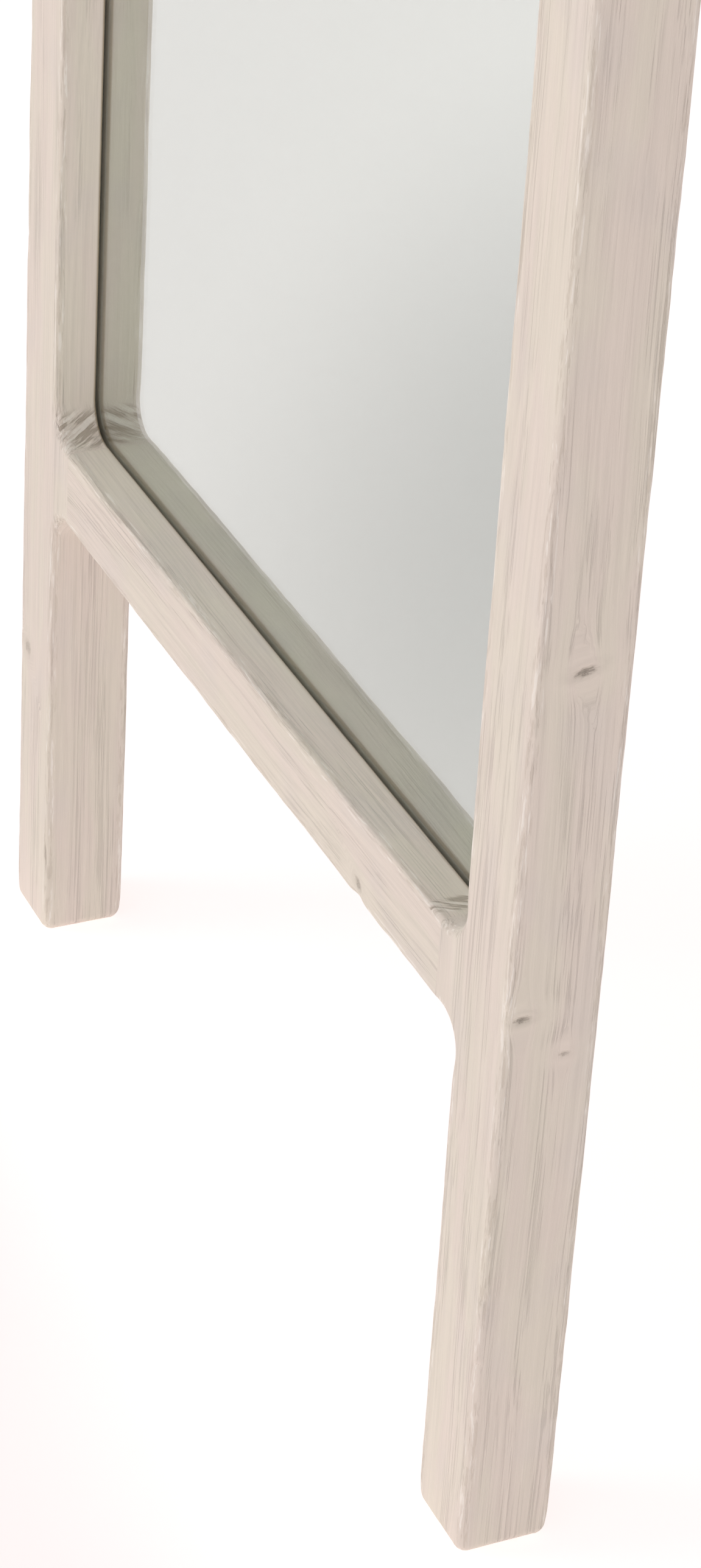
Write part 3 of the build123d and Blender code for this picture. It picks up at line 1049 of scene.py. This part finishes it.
def clear_glass(name):
    """Float glass, slightly green."""
    s = Shader(name, Transmission_Weight=1.0, IOR=1.52)
    cloud = s.noise(s.place(), scale=9.0, detail=2.0)
    tint = s.mix(cloud, (0.952, 0.978, 0.962), (0.958, 0.982, 0.968))
    s.put(s.surface.inputs["Base Color"], tint)
    s.put(s.surface.inputs["Roughness"], s.times(cloud, 0.006))
    return s.material


# ---------------------------------------------------------------- glass, silvering and the rest

GLASS_CLEARANCE = 0.00015
SILVER_GAP = 0.00003
ARRIS = 0.0008
SILVER_MARGIN = 0.0009


def slab(name, low, high, arris, segments=2):
    """A sheet with ground edges between its lowest and its highest corner."""
    mesh = bpy.data.meshes.new(name)
    work = bmesh.new()
    bmesh.ops.create_cube(work, size=1.0)
    size, centre = high - low, (high + low) / 2
    for vert in work.verts:
        vert.co = Vector(c * s for c, s in zip(vert.co, size)) + centre
    bmesh.ops.bevel(work, geom=work.edges[:], offset=arris, segments=segments, profile=0.5,
                    affect="EDGES")
    work.to_mesh(mesh)
    work.free()
    mesh.shade_flat()
    return linked(name, mesh)


def glass_and_silver():
    """The glass as a clear slab, with its silvering as a layer on the back of it."""
    low = glass_low + Vector((0, GLASS_CLEARANCE, 0))
    high = glass_high - Vector((0, 2 * SILVER_GAP, 0))
    glass = slab("mirror_glass_slab", low, high, ARRIS)
    glass.data.materials.append(clear_glass("float_glass"))
    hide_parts("mirror_glass")
    margin = Vector((SILVER_MARGIN, 0, SILVER_MARGIN))
    silver_low = Vector((glass_low.x, high.y + SILVER_GAP / 2, glass_low.z)) + margin
    silver = slab("mirror_silvering", silver_low, glass_high - margin, SILVER_GAP / 4, 1)
    silver.data.materials.append(mirror_silver("silvering"))
    for piece in (glass, silver):
        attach(piece, "mirror")


# Edges of the pine strips: how sharp an edge is eased, by how much, and what still shades sharp
SHARP_EDGE = math.radians(50)
STRIP_ARRIS = 0.0007
SHARP_SHADING = math.radians(35)


def eased_strip(node, material):
    """A retaining strip's own CAD shape with its sharp edges eased, in that node's place."""
    mesh = bpy.data.meshes.new(node + "_eased")
    work = bmesh.new()
    work.from_mesh(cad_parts[node].data)
    bmesh.ops.remove_doubles(work, verts=work.verts[:], dist=0.00001)
    bmesh.ops.dissolve_limit(work, angle_limit=math.radians(1), verts=work.verts[:],
                             edges=work.edges[:])
    sharp = [e for e in work.edges
             if len(e.link_faces) == 2 and e.calc_face_angle(0) > SHARP_EDGE]
    bmesh.ops.bevel(work, geom=sharp, offset=STRIP_ARRIS, segments=2, profile=0.5,
                    affect="EDGES", clamp_overlap=True)
    bmesh.ops.triangulate(work, faces=[f for f in work.faces if len(f.verts) > 4])
    work.to_mesh(mesh)
    work.free()
    mesh.shade_smooth()
    mesh.set_sharp_from_angle(angle=SHARP_SHADING)
    piece = linked(node + "_eased", mesh)
    piece.data.materials.append(material)
    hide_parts(node)
    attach(piece, "mirror")


def dress(node, material):
    """Gives a carried-over CAD node its material."""
    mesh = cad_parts[node].data
    mesh.materials.clear()
    mesh.materials.append(material)


# ---------------------------------------------------------------- the object

wood = limed_softwood(
    "limed_softwood_look",
    light=(0.90, 0.84, 0.775),
    pink=(0.725, 0.634, 0.562),
    yellow=(0.720, 0.648, 0.558),
    grey=(0.692, 0.616, 0.558),
)
for member in (post(-1), post(1), rail("bottom_rail", rail_low, rail_high),
               rail("top_rail", top_rail_low, top_rail_high)):
    member.data.materials.append(wood)

glass_and_silver()

PINE_PALE, PINE_DARK = (0.66, 0.52, 0.35), (0.44, 0.30, 0.17)
upright_pine = bare_wood("pine_upright", PINE_PALE, PINE_DARK, 2)
level_pine = bare_wood("pine_level", PINE_PALE, PINE_DARK, 0)
plywood = bare_wood("plywood_face", (0.60, 0.47, 0.32), (0.45, 0.325, 0.20), 2,
                    ring=38.0, contrast=0.55, pith=(0.06, 0.20))
beech = bare_wood("beech_tenon", (0.58, 0.42, 0.27), (0.46, 0.31, 0.19), 0,
                  ring=420.0, contrast=0.5)
for place, material in (("left", upright_pine), ("right", upright_pine),
                        ("bottom", level_pine), ("top", level_pine)):
    eased_strip(f"retaining_strip_{place}", material)
dress("back_panel", plywood)

steel = zinc_steel("zinc_steel_look")
for side_name in ("left", "right"):
    felt = soft_stuff(f"bumper_felt_{side_name}", (0.10, 0.095, 0.09), (0.22, 0.21, 0.20),
                      scale=1400.0, rough=0.82, bump=0.0002)
    dress(f"{side_name}_wall_bumper", felt)
    dress(f"{side_name}_hanger_plate", steel)
    dress(f"{side_name}_hanger_ring", steel)
dress("strip_screws", steel)
dress("hanger_screws", steel)
dress("backing_film", soft_stuff("film_look", (0.24, 0.25, 0.27), (0.34, 0.35, 0.37),
                                 scale=300.0, rough=0.45, bump=0.00002))
dress("cushion_sheet", soft_stuff("foam_look", (0.62, 0.62, 0.60), (0.80, 0.80, 0.78),
                                  scale=900.0, rough=0.85, bump=0.0002))
rubber = soft_stuff("rubber_look", (0.020, 0.020, 0.021), (0.050, 0.050, 0.052),
                    scale=700.0, rough=0.62, bump=0.00005)
dress("setting_blocks", rubber)
dress("edge_spacers", rubber)
for corner in ("bottom_left", "bottom_right", "top_left", "top_right"):
    dress(f"corner_tenon_{corner}", beech)


# ---------------------------------------------------------------- floor, light and camera

FLOOR_HALF = 14.0
FLOOR_TONES = ((0.918, 0.862, 0.860), (0.932, 0.876, 0.874))
WARM_WHITE = (1.0, 0.936, 0.937)

# Glow of the floor behind and before the mirror, and where along Y it goes from one to the other.
# The weaker glow before the mirror is painted shade.
GLOW_BEHIND = 0.55
GLOW_BEFORE = 0.405
GLOW_CHANGE = (-0.06, -0.30)

# The dimmer strip of floor in front of the mirror, painted shade that the mirror reflects
DIM_PLACE = (-0.745, -0.565)
DIM_TURN = math.radians(31.4)
DIM_LENGTH = 1.283
DIM_WIDTH = 0.37
DIM_DEPTH = 0.257


def pale_floor():
    """A wide pale floor that glows softly, less before the mirror and least in the dim strip:
    painted shade there, for the mirror to reflect.
    """
    mesh = bpy.data.meshes.new("floor")
    h = FLOOR_HALF
    mesh.from_pydata([(-h, -h, 0), (h, -h, 0), (h, h, 0), (-h, h, 0)], [], [(0, 1, 2, 3)])
    s = Shader("pale_floor", Roughness=0.9, Specular_IOR_Level=0.0, Emission_Color=WARM_WHITE)
    p = s.split(s.place())
    x, y = (s.math("SUBTRACT", p[i], DIM_PLACE[i]) for i in (0, 1))
    turn_x, turn_y = math.cos(DIM_TURN), math.sin(DIM_TURN)
    across = s.plus(s.times(x, turn_y / DIM_WIDTH), y, -turn_x / DIM_WIDTH)
    along = s.plus(s.times(x, turn_x / DIM_LENGTH), y, turn_y / DIM_LENGTH)
    # Painted shade on the floor before the mirror, as a weaker glow
    dim = s.span(s.length(across, along), 1.0, 0.0, 0.0, DIM_DEPTH)
    change = s.math("SUBTRACT", GLOW_BEFORE - GLOW_BEHIND, dim)
    glow = s.plus(GLOW_BEHIND, s.span(p[1], *GLOW_CHANGE), change)
    mottle = s.noise(s.place(), scale=3.0, detail=3.0)
    s.put(s.surface.inputs["Base Color"], s.mix(mottle, *FLOOR_TONES))
    s.put(s.surface.inputs["Emission Strength"], glow)
    mesh.materials.append(s.material)
    linked("floor", mesh)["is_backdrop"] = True


KEY_PLACE = (-3.0, -8.0, 4.0)
KEY_TARGET = (0.0, 0.0, 0.8)
KEY_SIZE = 4.0
KEY_WATTS = 115.0


def key_light():
    """A wide soft lamp high in front of the mirror, to its left."""
    data = bpy.data.lights.new("key", "AREA")
    data.shape = "DISK"
    data.size = KEY_SIZE
    data.energy = KEY_WATTS
    light = linked("key", data)
    light.location = KEY_PLACE
    light.rotation_mode = "QUATERNION"
    aim = Vector(KEY_TARGET) - Vector(KEY_PLACE)
    light.rotation_quaternion = aim.to_track_quat("-Z", "Y")


# Brightness of the surroundings: (from, to, level there, level there) of the direction's Z and Y
SKY_UPWARD = (0.0, 0.65, 0.92, 0.52)
SKY_BACKWARD = (-0.9, 0.9, 1.31, 0.64)


def sky():
    """A white studio, brightest near the horizon and in front of the mirror."""
    world = bpy.data.worlds.new("studio")
    bpy.context.scene.world = world
    world.use_nodes = True
    nodes, link = world.node_tree.nodes, world.node_tree.links.new
    nodes.clear()
    out = nodes.new("ShaderNodeOutputWorld")
    background = nodes.new("ShaderNodeBackground")
    direction = nodes.new("ShaderNodeSeparateXYZ")
    product = nodes.new("ShaderNodeMath")
    product.operation = "MULTIPLY"
    link(nodes.new("ShaderNodeTexCoord").outputs["Generated"], direction.inputs[0])
    for index, (axis, levels) in enumerate((("Z", SKY_UPWARD), ("Y", SKY_BACKWARD))):
        level = nodes.new("ShaderNodeMapRange")
        level.interpolation_type = "SMOOTHSTEP"
        for socket, value in zip(list(level.inputs)[1:5], levels):
            socket.default_value = value
        link(direction.outputs[axis], level.inputs[0])
        link(level.outputs[0], product.inputs[index])
    link(product.outputs[0], background.inputs["Color"])
    link(background.outputs[0], out.inputs["Surface"])


def camera():
    """The camera, at the photograph's viewing angle."""
    a, e = math.radians(CAMERA_AZIMUTH), math.radians(CAMERA_ELEVATION)
    back = Vector((math.sin(a) * math.cos(e), -math.cos(a) * math.cos(e), math.sin(e)))
    data = bpy.data.cameras.new("camera")
    data.lens = CAMERA_LENS
    data.sensor_width = SENSOR_WIDTH
    made = linked("camera", data)
    roll = Matrix.Rotation(math.radians(CAMERA_ROLL), 3, "Z")
    turn = (-back).to_track_quat("-Z", "Y").to_matrix() @ roll
    made.matrix_world = Matrix.Translation(CAMERA_PLACE) @ turn.to_4x4()
    bpy.context.scene.camera = made


pale_floor()
sky()
key_light()
camera()
bpy.context.scene.view_settings.view_transform = "Standard"
# Light thrown onto the wood by the mirror keeps its full strength
bpy.context.scene.cycles.blur_glossy = 0.0

boxes = {"cad": cad_box, "visual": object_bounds()}
{key: [list(corner) for corner in box] for key, box in boxes.items()}
